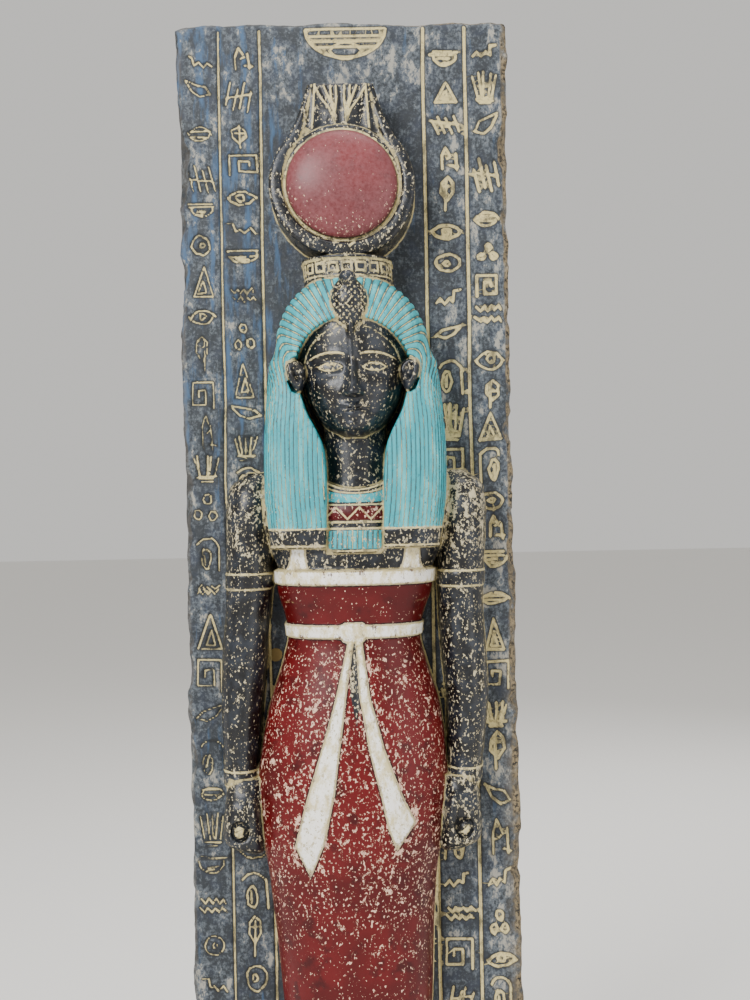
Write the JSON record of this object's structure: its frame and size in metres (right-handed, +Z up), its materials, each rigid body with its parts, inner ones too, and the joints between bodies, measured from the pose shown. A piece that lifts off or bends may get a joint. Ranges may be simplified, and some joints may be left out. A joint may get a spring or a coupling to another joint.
{
  "type": "carved stone stele",
  "caption": "Upright carved stone slab on a low plinth, with a standing goddess in painted high relief under a horned sun-disc crown, between columns of incised strokes.",
  "frame": {"origin": "centre of the plinth's flat underside", "axes": "+Z up along the slab; the carved face looks towards -Y; +X to the viewer's right when facing it"},
  "size_m": [0.109, 0.066, 0.3998],
  "materials": {
    "painted_basalt": "dark dressed basalt, satin where it is rubbed, with worn red, turquoise, cream and white paint in the carving"
  },
  "bodies": {
    "root": {"stele": "painted_basalt"}
  },
  "joints": []
}
